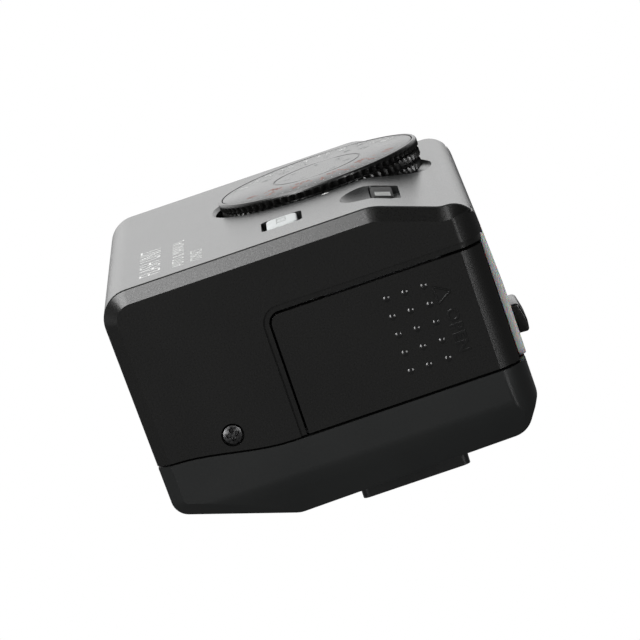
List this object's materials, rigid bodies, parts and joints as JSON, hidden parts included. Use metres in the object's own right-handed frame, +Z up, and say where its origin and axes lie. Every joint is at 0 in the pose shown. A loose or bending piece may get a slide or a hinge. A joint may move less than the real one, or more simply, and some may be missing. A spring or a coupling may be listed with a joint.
{
  "type": "speedlight flash",
  "caption": "Compact shoe-mount speedlight flash with a knurled top dial, lit test button, mode slider, flip-up wide panel and a sliding battery door, on a contact foot.",
  "frame": {"origin": "centre of the bounding box of the flash, on the underside of its foot", "axes": "+Z up, the flash window faces -Y, the battery door is on the -X side"},
  "size_m": [0.0652, 0.0484, 0.0389],
  "materials": {
    "plate_black": "satin black paint on the top plate and the dial face",
    "satin_black": "satin moulded black",
    "cover_black": "finely grained moulded black",
    "inner_plastic": "dark grey moulded, unseen inside",
    "milky_plastic": "milky translucent",
    "clear_plastic": "clear moulded lens with fine ribs",
    "tube_glass": "clear glass tube",
    "silicone": "pale silicone",
    "bright_metal": "bright formed metal",
    "gold_contact": "gold-plated contact",
    "dark_screw": "dark plated screw",
    "circuit_board": "green solder mask",
    "copper_wire": "enamelled copper winding",
    "ferrite": "dark ferrite",
    "cell_jacket": "plain metallic jacket",
    "capacitor_sleeve": "dark shrink sleeve",
    "sensor_plastic": "dark red, clear to infra-red"
  },
  "bodies": {
    "root": {"top_cover": "plate_black", "side_cover_door": "satin_black", "side_cover_plain": "satin_black", "bottom_cover": "cover_black", "front_bezel": "cover_black", "foot_plate": "cover_black", "foot_neck": "cover_black", "inner_chassis": "inner_plastic", "battery_cradle": "inner_plastic", "dial_encoder": "inner_plastic", "fresnel_lens": "clear_plastic", "flash_tube": "tube_glass", "tube_boot_left": "silicone", "tube_boot_right": "silicone", "panel_hinge_rod": "bright_metal", "reflector": "bright_metal", "spring_contact": "bright_metal", "plate_contact": "bright_metal", "tact_switch": "bright_metal", "slide_switch": "bright_metal", "side_screw_door": "dark_screw", "side_screw_plain": "dark_screw", "bottom_screw_1": "dark_screw", "bottom_screw_2": "dark_screw", "foot_screw_1": "dark_screw", "foot_screw_2": "dark_screw", "foot_screw_3": "dark_screw", "foot_screw_4": "dark_screw", "main_board": "circuit_board", "control_board": "circuit_board", "transformer_winding": "copper_wire", "trigger_coil": "copper_wire", "transformer_core": "ferrite", "cell_front": "cell_jacket", "cell_rear": "cell_jacket", "main_capacitor": "capacitor_sleeve", "sensor_window": "sensor_plastic"},
    "dial": {"dial_knob": "satin_black", "dial_face": "plate_black", "dial_spindle": "bright_metal"},
    "test_button": {"lamp_button": "milky_plastic"},
    "mode_switch": {"mode_slider": "satin_black"},
    "flip_panel": {"wide_panel": "milky_plastic", "wide_panel_tab": "satin_black"},
    "door_slide_block": {"door_carrier": "inner_plastic", "door_hinge_pin": "bright_metal"},
    "door": {"battery_door": "satin_black", "door_bridge_contact": "bright_metal"},
    "centre_contact": {"centre_contact": "gold_contact"},
    "contact_pin_1": {"contact_pin_1": "gold_contact"},
    "contact_pin_2": {"contact_pin_2": "gold_contact"},
    "contact_pin_3": {"contact_pin_3": "gold_contact"},
    "contact_pin_4": {"contact_pin_4": "gold_contact"}
  },
  "joints": [
    {"name": "dial_turn", "type": "hinge", "parent": "root", "child": "dial", "pos_m": [0.0073, -0.00507, 0.037], "axis": [0, 0, 1], "range_deg": [-135, 135]},
    {"name": "test_button_press", "type": "slide", "parent": "root", "child": "test_button", "axis": [0, 0, -1], "range_m": [0, 0.0005], "stiffness_N_per_m": 300},
    {"name": "mode_slide", "type": "slide", "parent": "root", "child": "mode_switch", "axis": [1, 0, 0], "range_m": [0, 0.002]},
    {"name": "wide_panel_flip", "type": "hinge", "parent": "root", "child": "flip_panel", "pos_m": [0, -0.02167, 0.0305], "axis": [-1, 0, 0], "range_deg": [0, 90]},
    {"name": "door_slide", "type": "slide", "parent": "root", "child": "door_slide_block", "axis": [0, -1, 0], "range_m": [0, 0.003]},
    {"name": "door_swing", "type": "hinge", "parent": "door_slide_block", "child": "door", "pos_m": [-0.03, -0.01928, 0.022], "axis": [0, 0, 1], "range_deg": [0, 100]},
    {"name": "centre_contact_press", "type": "slide", "parent": "root", "child": "centre_contact", "axis": [0, 0, 1], "range_m": [0, 0.0005], "stiffness_N_per_m": 200},
    {"name": "contact_pin_1_press", "type": "slide", "parent": "root", "child": "contact_pin_1", "axis": [0, 0, 1], "range_m": [0, 0.0005], "stiffness_N_per_m": 100},
    {"name": "contact_pin_2_press", "type": "slide", "parent": "root", "child": "contact_pin_2", "axis": [0, 0, 1], "range_m": [0, 0.0005], "stiffness_N_per_m": 100},
    {"name": "contact_pin_3_press", "type": "slide", "parent": "root", "child": "contact_pin_3", "axis": [0, 0, 1], "range_m": [0, 0.0005], "stiffness_N_per_m": 100},
    {"name": "contact_pin_4_press", "type": "slide", "parent": "root", "child": "contact_pin_4", "axis": [0, 0, 1], "range_m": [0, 0.0005], "stiffness_N_per_m": 100}
  ]
}
